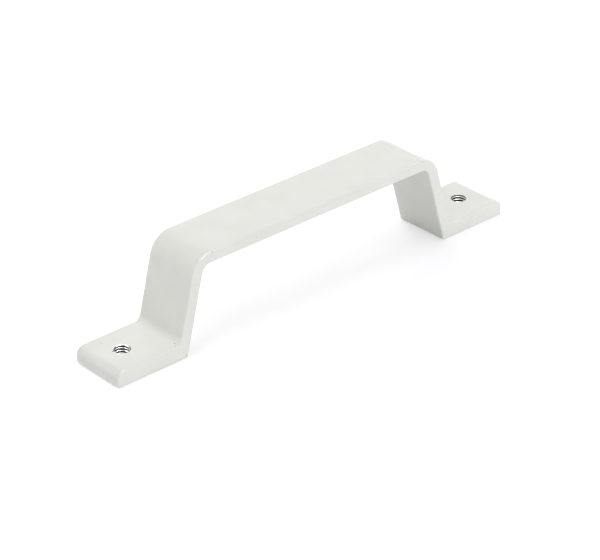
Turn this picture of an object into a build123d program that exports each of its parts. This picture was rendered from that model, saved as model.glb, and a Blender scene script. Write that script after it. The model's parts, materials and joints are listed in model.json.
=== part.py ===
"""Bridge pull handle: a slice of an extruded aluminium section, with two tapped feet.

The section is the handle's side view: a flat grip on two leaning legs, which run down
into thicker feet. A bar of that section is sawn to the handle's width, its edges are
tumbled round, and each foot is drilled, countersunk from both sides and tapped through.

Frame: +X runs along the grip, +Y across it and +Z away from the panel. The origin is on
the mounting face, midway between the two screw holes. Lengths are in millimetres.
"""

import os
from math import cos, radians, tan

from build123d import *

# Screw holes
HOLE_SPACING = 150.0  # centre to centre, along the grip
HOLE_TO_END = 10.0  # from a hole's centre to the end of its foot
THREAD_DIAMETER = 6.0  # M6 coarse
THREAD_PITCH = 1.0
COUNTERSINK_DIAMETER = 5.3  # at the foot's faces: only the thread's first edge is broken
COUNTERSINK_ANGLE = 90.0  # the whole cone

# The section, seen from the side
HEIGHT = 34.4  # mounting face to the top of the grip
GRIP_THICKNESS = 4.2
LEG_THICKNESS = 4.2
LEG_LEAN = 15.0  # degrees from upright, the feet wider apart than the grip's ends
FOOT_THICKNESS = 5.8
FOOT_LENGTH = 28.1  # from the foot's end to its heel, along the mounting face

# Corners of the section
OUTER_BEND_RADIUS = 8.5  # grip to leg, outside
INNER_BEND_RADIUS = 3.3  # grip to leg, inside
FOOT_FILLET_RADIUS = 2.8  # leg to foot, on the screw's side
FOOT_END_RADIUS = 2.8  # upper edge of the foot's end
CORNER_RADIUS = 1.0  # the corners on the mounting face

# The sawn slice
WIDTH = 21.6
EDGE_RADIUS = 0.5  # tumbled edges round both sawn sides

# Worked out from the sizes above
END_X = HOLE_SPACING / 2 + HOLE_TO_END
HEEL_X = END_X - FOOT_LENGTH
LEAN_SLOPE = tan(radians(LEG_LEAN))  # how far a leg moves inwards for each mm of height
LEG_ALONG_X = LEG_THICKNESS / cos(radians(LEG_LEAN))  # the leg's thickness, cut level
TAP_DRILL_DIAMETER = THREAD_DIAMETER - THREAD_PITCH
COUNTERSINK_DEPTH = (COUNTERSINK_DIAMETER - TAP_DRILL_DIAMETER) / 2 / tan(radians(COUNTERSINK_ANGLE / 2))


def inner_leg_x(z):
    """X of the leg's inner face at height z, on the +X side."""
    return HEEL_X - z * LEAN_SLOPE


def outer_leg_x(z):
    """X of the leg's outer face at height z, on the +X side."""
    return inner_leg_x(z) + LEG_ALONG_X


def section():
    """The extrusion's section, a closed face in the XZ plane."""
    underside_z = HEIGHT - GRIP_THICKNESS
    half = [  # corner x, corner z and its radius, from the top of the grip round to its underside
        (outer_leg_x(HEIGHT), HEIGHT, OUTER_BEND_RADIUS),
        (outer_leg_x(FOOT_THICKNESS), FOOT_THICKNESS, FOOT_FILLET_RADIUS),
        (END_X, FOOT_THICKNESS, FOOT_END_RADIUS),
        (END_X, 0, CORNER_RADIUS),
        (HEEL_X, 0, CORNER_RADIUS),
        (inner_leg_x(underside_z), underside_z, INNER_BEND_RADIUS),
    ]
    corners = half + [(-x, z, radius) for x, z, radius in reversed(half)]
    outline = FilletPolyline(
        [(x, 0, z) for x, z, _ in corners],
        radius=[radius for _, _, radius in corners],
        close=True,
    )
    return make_face(outline)


def sawn_slice():
    """A slice of the extrusion, WIDTH wide, with its edges tumbled round."""
    slice_ = extrude(section(), amount=WIDTH / 2, dir=(0, 1, 0), both=True)
    sawn_sides = slice_.faces().filter_by(Axis.Y)
    return fillet(sawn_sides.edges(), EDGE_RADIUS)


def screw_hole():
    """What drilling and countersinking remove from a foot, on the Z axis.

    The wall is left at the tapping drill's size: the thread's turns are not modelled.
    """
    drill_radius = TAP_DRILL_DIAMETER / 2
    mouth_radius = COUNTERSINK_DIAMETER / 2
    half_profile = Polyline(
        (0, 0, 0),
        (mouth_radius, 0, 0),
        (drill_radius, 0, COUNTERSINK_DEPTH),
        (drill_radius, 0, FOOT_THICKNESS - COUNTERSINK_DEPTH),
        (mouth_radius, 0, FOOT_THICKNESS),
        (0, 0, FOOT_THICKNESS),
        close=True,
    )
    return revolve(make_face(half_profile), Axis.Z)


def bridge_handle():
    """The whole handle: one solid."""
    holes = [Pos(side * HOLE_SPACING / 2, 0, 0) * screw_hole() for side in (-1, 1)]
    return sawn_slice() - holes


os.makedirs("parts", exist_ok=True)
handle = bridge_handle()
export_step(handle, "parts/bridge_handle.step")
print("overall", handle.bounding_box().size, "volume", round(handle.volume, 1))
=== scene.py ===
"""Dresses the bridge pull handle: its powder coat, its tapped holes and the soft light it stands in.

The handle is made here as it is made in a workshop. Its section is drawn, sawn off as a slice, tumbled
round at the edges and coated. Then each foot is countersunk from both sides and tapped through, which
leaves bare aluminium. Everything is in metres, in the frame of the solid: +X along the grip, +Z up.
"""

import json
from math import ceil, cos, pi, radians, sin, tan

import bmesh
import bpy
from mathutils import Matrix, Vector


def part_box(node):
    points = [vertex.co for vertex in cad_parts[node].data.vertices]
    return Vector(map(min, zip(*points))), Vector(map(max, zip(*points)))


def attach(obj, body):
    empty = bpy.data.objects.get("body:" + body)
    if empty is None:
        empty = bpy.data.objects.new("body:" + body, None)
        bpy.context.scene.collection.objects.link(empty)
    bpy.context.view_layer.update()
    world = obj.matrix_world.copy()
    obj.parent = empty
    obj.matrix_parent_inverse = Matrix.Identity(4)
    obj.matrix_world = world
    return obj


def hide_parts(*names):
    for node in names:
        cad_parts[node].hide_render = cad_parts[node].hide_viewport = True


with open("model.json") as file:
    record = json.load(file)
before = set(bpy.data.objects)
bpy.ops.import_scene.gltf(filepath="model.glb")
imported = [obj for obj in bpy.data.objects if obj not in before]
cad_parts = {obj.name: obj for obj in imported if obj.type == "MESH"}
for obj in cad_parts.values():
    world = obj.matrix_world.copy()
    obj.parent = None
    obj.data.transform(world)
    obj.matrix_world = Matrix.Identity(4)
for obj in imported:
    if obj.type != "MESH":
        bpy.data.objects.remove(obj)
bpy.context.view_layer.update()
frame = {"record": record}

MM = 0.001

# Sizes that the frame gives
MOUNTS = {mount["name"]: mount for mount in frame["record"]["mounts"]}
SCREW_HOLE = MOUNTS["screw_hole_right"]
END_X, HALF_WIDTH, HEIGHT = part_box("bridge_handle")[1]
HOLE_X = SCREW_HOLE["pos_m"][0]
FOOT_THICKNESS = 2 * SCREW_HOLE["pos_m"][2]
HEEL_X = 2 * MOUNTS["foot_face_right"]["pos_m"][0] - END_X
TAP_DRILL_RADIUS = SCREW_HOLE["dims"]["r_mm"] * MM
COUNTERSINK_DEPTH = FOOT_THICKNESS / 2 - SCREW_HOLE["dims"]["length_mm"] * MM / 2

# Sizes of the section that the frame doesn't give
GRIP_THICKNESS = 4.2 * MM
LEG_THICKNESS = 4.2 * MM
LEG_LEAN = radians(15.0)
OUTER_BEND_RADIUS = 8.5 * MM
INNER_BEND_RADIUS = 3.3 * MM
FOOT_FILLET_RADIUS = 2.8 * MM
FOOT_END_RADIUS = 2.8 * MM
CORNER_RADIUS = 1.0 * MM
EDGE_RADIUS = 0.5 * MM

# The M6 thread
THREAD_RADIUS = 3.0 * MM
THREAD_PITCH = 1.0 * MM
FLANK_ANGLE = radians(30)
THREAD_STARTS = {-1: radians(305), 1: radians(160)}  # where each breaks out of its foot's top: left, right
BRIGHT_RADIUS = 2.68 * MM  # how far out its upper side keeps the bare metal's colour: the rest is painted dark, as painted shade in the groove and on the sides that face down

# The cutters
STEPS_PER_TURN = 96
CREST_STEPS = 6  # faces across a rounded crest
TURNS_BELOW = 1  # turns of a tap past the foot's underside, at least
TURNS_ABOVE = 2  # turns past its top, less the part of a turn that sets the thread's start
PROUD = 1.0 * MM  # about how far the countersinks and the bare rings' cutters stand out of the foot

# The coat and its wear
COAT_THICKNESS = 0.06 * MM
BARE_RADIUS = 2.8 * MM  # the tap's collar has rubbed the coat off this far round each hole
CHIPS = [  # where the coat is chipped: the middle, then half the chip's size along x, y and z, all in mm
    ((-45.31, -10.80, 34.06), (0.07, 0.08, 0.50)),  # a scratch across the grip's front edge, by the bend
    ((-26.93, -10.80, 32.42), (0.12, 0.05, 0.10)),  # a dot on the grip's front
    ((-60.84, -9.11, 5.99), (0.24, 0.24, 0.10)),  # two specks in the fillet at the leg's foot
    ((-61.58, -10.36, 5.80), (0.18, 0.16, 0.10)),
    ((-77.81, 0.76, 5.80), (0.36, 0.34, 0.10)),  # a chip beside the left hole
    ((-77.53, 6.99, 5.80), (0.16, 0.16, 0.05)),  # a dot behind it
    ((-57.58, -10.80, 0.94), (0.20, 0.06, 0.18)),  # a knock at the heel
]

# The grain of each finish, and the patches in the thread's painted shade
CLOUDING = 9.0 * MM  # patches in the coat's colour
PEEL_WIDTH = 1.4 * MM  # the coat's orange peel
PEEL_DEPTH = 0.0015 * MM
TOOL_LINE_WIDTH = 0.2 * MM  # a tap leaves lines a few hundredths of a millimetre apart: wider here, to show
TOOL_LINE_LENGTH = 10  # times the width, round the hole
# patches in the dark colour that is painted into the thread as shade
PAINTED_SHADE_PATCH = 0.8 * MM
SPECKLE = 0.15 * MM
NOISE_RANGE = (0.3, 0.7)  # nearly all of a noise lies between these

# How finely the slice is drawn
ARC_STEP = radians(3)  # round stretches of the section
EDGE_STEPS = 5  # faces across a tumbled edge
SHARP_FROM = radians(30)  # an edge that turns more than this stays crisp


def section():
    """The handle's side view as a closed row of points, each with the direction that faces outwards."""
    slope = tan(LEG_LEAN)
    leg_along_x = LEG_THICKNESS / cos(LEG_LEAN)
    under_grip = HEIGHT - GRIP_THICKNESS

    def outer_leg_x(z):
        return HEEL_X + leg_along_x - z * slope

    right = [  # corner x, corner z and its radius
        (HEEL_X, 0.0, CORNER_RADIUS),
        (END_X, 0.0, CORNER_RADIUS),
        (END_X, FOOT_THICKNESS, FOOT_END_RADIUS),
        (outer_leg_x(FOOT_THICKNESS), FOOT_THICKNESS, FOOT_FILLET_RADIUS),
        (outer_leg_x(HEIGHT), HEIGHT, OUTER_BEND_RADIUS),
    ]
    left = [(-x, z, radius) for x, z, radius in reversed(right)]
    under_x = HEEL_X - under_grip * slope
    under = [(side * under_x, under_grip, INNER_BEND_RADIUS) for side in (-1, 1)]
    corners = right + left + under
    outline = []
    for i, (x, z, radius) in enumerate(corners):
        before, after = corners[i - 1], corners[(i + 1) % len(corners)]
        outline += rounded_corner(Vector(before[:2]), Vector((x, z)), Vector(after[:2]), radius)
    return outline


def rounded_corner(before, corner, after, radius):
    """The arc that rounds a corner between two straight stretches, as points and outward directions."""
    into, out = (before - corner).normalized(), (after - corner).normalized()
    half = into.angle(out) / 2
    bulge = 1 if into.cross(out) < 0 else -1  # a hollow corner turns the other way
    centre = corner + (into + out).normalized() * radius / sin(half)
    first = (corner + into * radius / tan(half) - centre) / radius
    turn = (pi - 2 * half) * bulge
    steps = ceil(abs(turn) / ARC_STEP)
    arms = [Matrix.Rotation(turn * i / steps, 2) @ first for i in range(steps + 1)]
    return [(centre + arm * radius, arm * bulge) for arm in arms]


def sawn_slice():
    """A bar of the section, sawn to the handle's width and tumbled round at its edges."""
    slice_ = bmesh.new()
    outline = section()
    quarter = [pi / 2 * step / EDGE_STEPS for step in range(EDGE_STEPS + 1)]
    stations = [(-1, angle) for angle in quarter] + [(1, angle) for angle in reversed(quarter)]
    rings = []
    for side, angle in stations:
        inset = EDGE_RADIUS * (1 - sin(angle))
        y = side * (HALF_WIDTH - EDGE_RADIUS * (1 - cos(angle)))
        rim = [point - outward * inset for point, outward in outline]
        rings.append([slice_.verts.new((x, y, z)) for x, z in rim])
    for near, far in zip(rings, rings[1:]):
        for i in range(len(outline)):
            slice_.faces.new((near[i - 1], near[i], far[i], far[i - 1]))
    slice_.faces.new(rings[0])
    slice_.faces.new(rings[-1])
    bmesh.ops.recalc_face_normals(slice_, faces=slice_.faces)
    return slice_


def thread_profile():
    """One pitch of the thread: points as height and radius, and whether the stretch from each is painted
    dark as painted shade.
    """
    slope = tan(FLANK_ANGLE)
    floor_half = THREAD_PITCH / 16  # the groove's floor is an eighth of the pitch across
    # out from here the flanks are painted dark, as painted shade deep in the groove
    painted_shade_half = floor_half + (THREAD_RADIUS - BRIGHT_RADIUS) * slope
    flanks_meet = THREAD_RADIUS - (THREAD_PITCH / 2 - floor_half) / slope
    rounding = TAP_DRILL_RADIUS - flanks_meet  # of a crest, as an arc that touches both flanks
    arc_middle = TAP_DRILL_RADIUS + rounding
    points = [(-floor_half, THREAD_RADIUS), (floor_half, THREAD_RADIUS), (painted_shade_half, BRIGHT_RADIUS)]
    crest = len(points)
    for step in range(CREST_STEPS + 1):
        tilt = (pi / 2 - FLANK_ANGLE) * (2 * step / CREST_STEPS - 1)
        points.append((THREAD_PITCH / 2 + rounding * sin(tilt), arc_middle - rounding * cos(tilt)))
    points.append((THREAD_PITCH - painted_shade_half, BRIGHT_RADIUS))
    # stretches outside this range are painted dark, as painted shade
    bright = range(crest + CREST_STEPS // 3, len(points) - 1)  # a crest's upper part and the flank above it
    return points, [k not in bright for k in range(len(points))]


def tap(cutter, x, start):
    """A tap that stands in one foot: a screw thread, added to the cutter."""
    profile, painted_shade = thread_profile()
    turns = TURNS_BELOW + ceil(FOOT_THICKNESS / THREAD_PITCH) + TURNS_ABOVE
    lowest = FOOT_THICKNESS - (turns - TURNS_ABOVE + start / (2 * pi)) * THREAD_PITCH
    rings = []
    for step in range(turns * STEPS_PER_TURN + 1):
        angle = 2 * pi * step / STEPS_PER_TURN
        rise = lowest + step / STEPS_PER_TURN * THREAD_PITCH
        rings.append([
            cutter.verts.new((x + r * cos(angle), r * sin(angle), rise + z)) for z, r in profile
        ])
    for step in range(len(rings) - 1):
        for k in range(len(profile)):
            quad = [rings[step][k], rings[step + 1][k]]
            if k + 1 < len(profile):
                quad += [rings[step + 1][k + 1], rings[step][k + 1]]
            elif step + 1 + STEPS_PER_TURN < len(rings):
                above = step + STEPS_PER_TURN  # the last point meets the first one of the next turn
                quad += [rings[above + 1][0], rings[above][0]]
            else:
                continue
            # the stretches that aren't bright get the second material, which is painted shade
            cutter.faces.new(quad).material_index = int(painted_shade[k])


def close_with_points(cutter, x):
    """Closes both ends of the tap with a cone, so that it is solid."""
    middle = FOOT_THICKNESS / 2
    rims = [edge for edge in cutter.edges if edge.is_boundary]
    for below in (True, False):
        rim = [edge for edge in rims if (edge.verts[0].co.z < middle) == below]
        reach = min if below else max
        tip_z = reach(edge.verts[0].co.z for edge in rim) + THREAD_RADIUS * (-1 if below else 1)
        tip = cutter.verts.new((x, 0.0, tip_z))
        for edge in rim:
            cutter.faces.new((*edge.verts, tip))


def taps():
    """Both taps, as one cutter."""
    cutter = bmesh.new()
    for side, start in THREAD_STARTS.items():
        tap(cutter, side * HOLE_X, start)
        close_with_points(cutter, side * HOLE_X)
    bmesh.ops.recalc_face_normals(cutter, faces=cutter.faces)
    return cutter


def countersinks():
    """The four 90 degree countersinks, one at each mouth of each hole, as one cutter."""
    cutter = bmesh.new()
    length = TAP_DRILL_RADIUS + COUNTERSINK_DEPTH + PROUD
    for x in (-HOLE_X, HOLE_X):
        for z, side in ((0.0, -1), (FOOT_THICKNESS, 1)):
            middle = z + side * (PROUD - length / 2)
            place = Matrix.Translation((x, 0.0, middle)) @ Matrix.Rotation(0 if side > 0 else pi, 4, "X")
            bmesh.ops.create_cone(
                cutter, cap_ends=True, segments=STEPS_PER_TURN, radius1=0.0, radius2=length,
                depth=length, matrix=place,
            )
    return cutter


def bare_rings():
    """The shallow rounds where the coat is rubbed off about each hole, on both faces of the feet."""
    cutter = bmesh.new()
    for x in (-HOLE_X, HOLE_X):
        for middle in (COAT_THICKNESS - PROUD / 2, FOOT_THICKNESS - COAT_THICKNESS + PROUD / 2):
            bmesh.ops.create_cone(
                cutter, cap_ends=True, segments=STEPS_PER_TURN, radius1=BARE_RADIUS, radius2=BARE_RADIUS,
                depth=PROUD, matrix=Matrix.Translation((x, 0.0, middle)),
            )
    return cutter


def chips():
    """Small rounded cutters, one for each chip in the coat."""
    cutter = bmesh.new()
    for middle, half_sizes in CHIPS:
        place = Matrix.Translation(Vector(middle) * MM) @ Matrix.Diagonal((*(Vector(half_sizes) * MM), 1.0))
        bmesh.ops.create_icosphere(cutter, subdivisions=2, radius=1.0, matrix=place)
    return cutter


def new_piece(name, mesh, *materials):
    """A Blender object made of a bmesh, with its materials."""
    data = bpy.data.meshes.new(name)
    mesh.to_mesh(data)
    mesh.free()
    for material in materials:
        data.materials.append(material)
    piece = bpy.data.objects.new(name, data)
    bpy.context.scene.collection.objects.link(piece)
    return piece


def cut(piece, cutter):
    """Takes the cutter out of the piece. The cut faces keep the cutter's material."""
    modifier = piece.modifiers.new("cut", "BOOLEAN")
    modifier.object = cutter
    modifier.operation = "DIFFERENCE"
    modifier.solver = "EXACT"
    modifier.material_mode = "TRANSFER"
    bpy.context.view_layer.update()
    result = bpy.data.meshes.new_from_object(piece.evaluated_get(bpy.context.evaluated_depsgraph_get()))
    piece.modifiers.clear()
    piece.data = result
    bpy.data.objects.remove(cutter)


def linear(hex_colour):
    """A colour written as sRGB hex, as linear RGBA."""
    channels = (int(hex_colour[i:i + 2], 16) / 255 for i in (1, 3, 5))
    return (*(c / 12.92 if c <= 0.04045 else ((c + 0.055) / 1.055) ** 2.4 for c in channels), 1.0)


def add(tree, kind, settings=None, links=None, **attributes):
    """Adds a node to a tree with its attributes, the values of its inputs and the links into it."""
    node = tree.nodes.new(kind)
    for name, value in attributes.items():
        setattr(node, name, value)
    for name, value in (settings or {}).items():
        node.inputs[name].default_value = value
    for name, output in (links or {}).items():
        tree.links.new(output, node.inputs[name])
    return node


def new_material(name):
    """An empty node material and its tree."""
    material = bpy.data.materials.new(name)
    material.use_nodes = True
    material.node_tree.nodes.clear()
    return material, material.node_tree


def mottled(tree, place, patch, dark, light):
    """A noise with patches of this size, and the colour that drifts between two shades with it."""
    noise = add(tree, "ShaderNodeTexNoise", {"Scale": 1 / patch, "Detail": 3.0}, {"Vector": place})
    colour = add(tree, "ShaderNodeValToRGB", None, {"Fac": noise.outputs["Fac"]})
    for stop, position, shade in zip(colour.color_ramp.elements, NOISE_RANGE, (dark, light)):
        stop.position, stop.color = position, linear(shade)
    return noise.outputs["Fac"], colour.outputs["Color"]


def powder_coat():
    """Polyester powder, sprayed dry and baked: glossy pale grey, with a faint clouding and orange peel."""
    material, tree = new_material("light_grey_powder_coat")
    place = add(tree, "ShaderNodeTexCoord")
    _, colour = mottled(tree, place.outputs["Object"], CLOUDING, "#DFE0D8", "#E3E4DE")
    peel = add(tree, "ShaderNodeTexNoise", {"Scale": 1 / PEEL_WIDTH, "Detail": 1.0},
               {"Vector": place.outputs["Object"]})
    bump = add(tree, "ShaderNodeBump", {"Strength": 1.0, "Distance": PEEL_DEPTH},
               {"Height": peel.outputs["Fac"]})
    shader = add(tree, "ShaderNodeBsdfPrincipled", {"Roughness": 0.05, "IOR": 1.55},
                 {"Base Color": colour, "Normal": bump.outputs["Normal"]})
    add(tree, "ShaderNodeOutputMaterial", None, {"Surface": shader.outputs["BSDF"]})
    return material


def uncoated_metal(name, stretch, patch, dark, light, smoothest, roughest):
    """Metal whose colour and roughness drift together: the darker it is, the smoother."""
    material, tree = new_material(name)
    place = add(tree, "ShaderNodeTexCoord")
    stretched = add(tree, "ShaderNodeMapping", {"Scale": stretch}, {"Vector": place.outputs["Object"]})
    noise, colour = mottled(tree, stretched.outputs["Vector"], patch, dark, light)
    low, high = NOISE_RANGE
    roughness = add(tree, "ShaderNodeMapRange",
                    {"From Min": low, "From Max": high, "To Min": smoothest, "To Max": roughest},
                    {"Value": noise})
    shader = add(tree, "ShaderNodeBsdfPrincipled", {"Metallic": 1.0},
                 {"Base Color": colour, "Roughness": roughness.outputs["Result"]})
    add(tree, "ShaderNodeOutputMaterial", None, {"Surface": shader.outputs["BSDF"]})
    return material


def tapped_aluminium():
    """Aluminium, bright from the tap, whose teeth leave fine lines that run round the hole."""
    along = 1 / TOOL_LINE_LENGTH
    return uncoated_metal(
        "bare_tapped_aluminium", stretch=(along, along, 1.0), patch=TOOL_LINE_WIDTH,
        dark="#EEEFEF", light="#FCFDFD", smoothest=0.22, roughest=0.38,
    )


def painted_shade_aluminium():
    """Aluminium deep in the thread's groove and on the crests' undersides, painted dark in patches: painted
    shade.
    """
    return uncoated_metal(
        "painted_shade_tapped_aluminium", stretch=(1.0, 1.0, 1.0), patch=PAINTED_SHADE_PATCH,
        dark="#333537", light="#494B4D", smoothest=0.27, roughest=0.43,
    )


def chipped_coat():
    """The matt, faintly speckled grey that shows where the coat is chipped."""
    material, tree = new_material("chipped_coat")
    place = add(tree, "ShaderNodeTexCoord")
    _, colour = mottled(tree, place.outputs["Object"], SPECKLE, "#7C7C78", "#989894")
    shader = add(tree, "ShaderNodeBsdfPrincipled", {"Roughness": 0.7}, {"Base Color": colour})
    add(tree, "ShaderNodeOutputMaterial", None, {"Surface": shader.outputs["BSDF"]})
    return material


def handle():
    """The coated slice with its holes and chips cut through the coat."""
    # the third of these materials is painted shade for the thread's groove and crest undersides
    coat, bare, painted_shade = powder_coat(), tapped_aluminium(), painted_shade_aluminium()
    piece = new_piece("handle", sawn_slice(), coat)
    cut(piece, new_piece("bare_rings", bare_rings(), bare))
    cut(piece, new_piece("countersinks", countersinks(), bare))
    cut(piece, new_piece("taps", taps(), bare, painted_shade))
    cut(piece, new_piece("chips", chips(), chipped_coat()))
    piece.data.shade_smooth()
    piece.data.set_sharp_from_angle(angle=SHARP_FROM)
    weighted = piece.modifiers.new("weighted", "WEIGHTED_NORMAL")
    weighted.keep_sharp = True
    weighted.weight = 100  # broad faces stay flat up to the rounded edges
    return piece


# The studio
FLOOR_REACH = 0.7  # metres each way
FLOOR_DROP = 0.02 * MM  # how far the paper lies under the feet, with the painted shade cards half way between
FLOOR_BOUNCE = "#EDEDED"  # white paper, for the light it throws back at the handle
FLOOR_SHOWN = "#DFDEE1"  # the same paper as it is seen, where the glow makes up the rest
FLOOR_GLOW = 0.37
PAINTED_SHADE_CARD_RADIUS = 4.0 * MM  # black discs of painted shade, small enough to stay hidden under the feet
LAMP_DISTANCE = 1.3  # metres
SOFTBOXES = {  # azimuth and elevation in degrees, width and height in metres, watts, colour
    "rear": (180, 50, 0.9, 0.9, 7.16, "#FFFFFF"),
    "left": (-90, 50, 0.9, 0.9, 4.78, "#FFFFFF"),
    "low front": (0, 17, 1.0, 0.7, 6.94, "#F8F9FF"),
    "low front right": (45, 17, 1.0, 0.7, 5.82, "#FFFFFF"),
    "low right": (90, 17, 1.0, 0.7, 1.41, "#FFFFFF"),
    "low rear right": (135, 17, 1.0, 0.7, 5.69, "#FFFFFF"),
    "low left": (-90, 17, 1.0, 0.7, 2.68, "#FFFFFF"),
    "overhead": (0, 90, 0.5, 0.5, 3.86, "#FFFFFF"),
}
GLINTS = {  # the same for small lamps that only show as white glints, on round edges and thread crests
    "front glint": (-4.5, 47, 0.5, 0.12, 9.0, "#FFFFFF"),
    "left glint": (-105.9, 41, 0.1, 0.1, 6.0, "#FFFFFF"),
    "right glint": (24.1, 41, 0.1, 0.1, 6.0, "#FFFFFF"),
}


def direction(azimuth, elevation):
    """Unit vector from the object towards a viewer at these angles, in degrees."""
    a, e = radians(azimuth), radians(elevation)
    return Vector((sin(a) * cos(e), -cos(a) * cos(e), sin(e)))


def lamp_at(name, azimuth, elevation, width, height, watts, colour, mirrored):
    """A flat lamp that faces the handle. It is either mirrored in the handle or lights it, and not both."""
    lamp = bpy.data.lights.new(name, "AREA")
    lamp.shape = "RECTANGLE"
    lamp.size, lamp.size_y = width, height
    lamp.energy = watts
    lamp.color = linear(colour)[:3]
    light = bpy.data.objects.new(name, lamp)
    back = direction(azimuth, elevation)
    place = Matrix.Translation(back * LAMP_DISTANCE)
    light.matrix_world = place @ back.to_track_quat("Z", "Y").to_matrix().to_4x4()
    light.visible_glossy, light.visible_diffuse = mirrored, not mirrored
    bpy.context.scene.collection.objects.link(light)


def seen(tree):
    """One where the camera looks or a mirrored ray goes, and nought for the light that falls on things."""
    rays = add(tree, "ShaderNodeLightPath")
    either = add(tree, "ShaderNodeMath", None,
                 {0: rays.outputs["Is Camera Ray"], 1: rays.outputs["Is Glossy Ray"]}, operation="MAXIMUM")
    return either.outputs[0]


def floor():
    """A sheet of white paper under the handle."""
    sheet = bmesh.new()
    bmesh.ops.create_grid(sheet, x_segments=1, y_segments=1, size=FLOOR_REACH)
    bmesh.ops.translate(sheet, vec=(0, 0, -FLOOR_DROP), verts=sheet.verts)
    material, tree = new_material("white_paper")
    plain = add(tree, "ShaderNodeBsdfDiffuse", {"Color": linear(FLOOR_BOUNCE)})
    pale = add(tree, "ShaderNodeBsdfDiffuse", {"Color": linear(FLOOR_SHOWN)})
    glow = add(tree, "ShaderNodeEmission", {"Color": linear("#FFFFFF"), "Strength": FLOOR_GLOW})
    paper = add(tree, "ShaderNodeAddShader", None, {0: pale.outputs[0], 1: glow.outputs[0]})
    surface = add(tree, "ShaderNodeMixShader", None,
                  {0: seen(tree), 1: plain.outputs[0], 2: paper.outputs[0]})
    add(tree, "ShaderNodeOutputMaterial", None, {"Surface": surface.outputs[0]})
    new_piece("floor", sheet, material)


def painted_shade_cards():
    """A black card under each hole, which keeps the paper from shining up through it: painted shade,
    standing for the shade under the feet as seen through the holes.
    """
    cards = bmesh.new()
    for x in (-HOLE_X, HOLE_X):
        bmesh.ops.create_circle(
            cards, cap_ends=True, segments=32, radius=PAINTED_SHADE_CARD_RADIUS,
            matrix=Matrix.Translation((x, 0.0, -FLOOR_DROP / 2)),
        )
    material, tree = new_material("painted_shade_card")
    ink = add(tree, "ShaderNodeBsdfDiffuse", {"Color": linear("#1A1A1A")})
    add(tree, "ShaderNodeOutputMaterial", None, {"Surface": ink.outputs["BSDF"]})
    new_piece("painted_shade_cards", cards, material)


def room():
    """White all round where it is seen or mirrored. All the light that falls on things is the lamps'."""
    world = bpy.data.worlds.new("room")
    bpy.context.scene.world = world
    world.use_nodes = True
    tree = world.node_tree
    tree.nodes.clear()
    background = add(tree, "ShaderNodeBackground", {"Color": linear("#FFFFFF")}, {"Strength": seen(tree)})
    add(tree, "ShaderNodeOutputWorld", None, {"Surface": background.outputs["Background"]})


# Where the camera stands
CAMERA_AZIMUTH, CAMERA_ELEVATION, CAMERA_ROLL = -40.92, 29.40, -1.16
CAMERA_DISTANCE = 804.9 * MM
CAMERA_AIM = Vector((-4.26, -5.16, 5.59)) * MM
CAMERA_LENS, SENSOR_WIDTH = 145.77, 36.0  # both in millimetres
NEAREST_SHOWN = 0.01  # metres from the lens


def camera():
    """A long lens, aimed at a point near the middle of the handle."""
    data = bpy.data.cameras.new("camera")
    data.lens = CAMERA_LENS
    data.sensor_width = SENSOR_WIDTH
    data.clip_start = NEAREST_SHOWN
    piece = bpy.data.objects.new("camera", data)
    back = direction(CAMERA_AZIMUTH, CAMERA_ELEVATION)
    upright = back.to_track_quat("Z", "Y").to_matrix().to_4x4()
    roll = Matrix.Rotation(radians(CAMERA_ROLL), 4, "Z")
    piece.matrix_world = Matrix.Translation(CAMERA_AIM + back * CAMERA_DISTANCE) @ upright @ roll
    bpy.context.scene.collection.objects.link(piece)
    bpy.context.scene.camera = piece


bpy.context.scene.view_settings.view_transform = "Standard"
made = handle()
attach(made, "root")
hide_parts("bridge_handle")
floor()
# painted shade under the holes
painted_shade_cards()
room()
for name, placing in SOFTBOXES.items():
    lamp_at(name, *placing, mirrored=False)
for name, placing in GLINTS.items():
    lamp_at(name, *placing, mirrored=True)
camera()
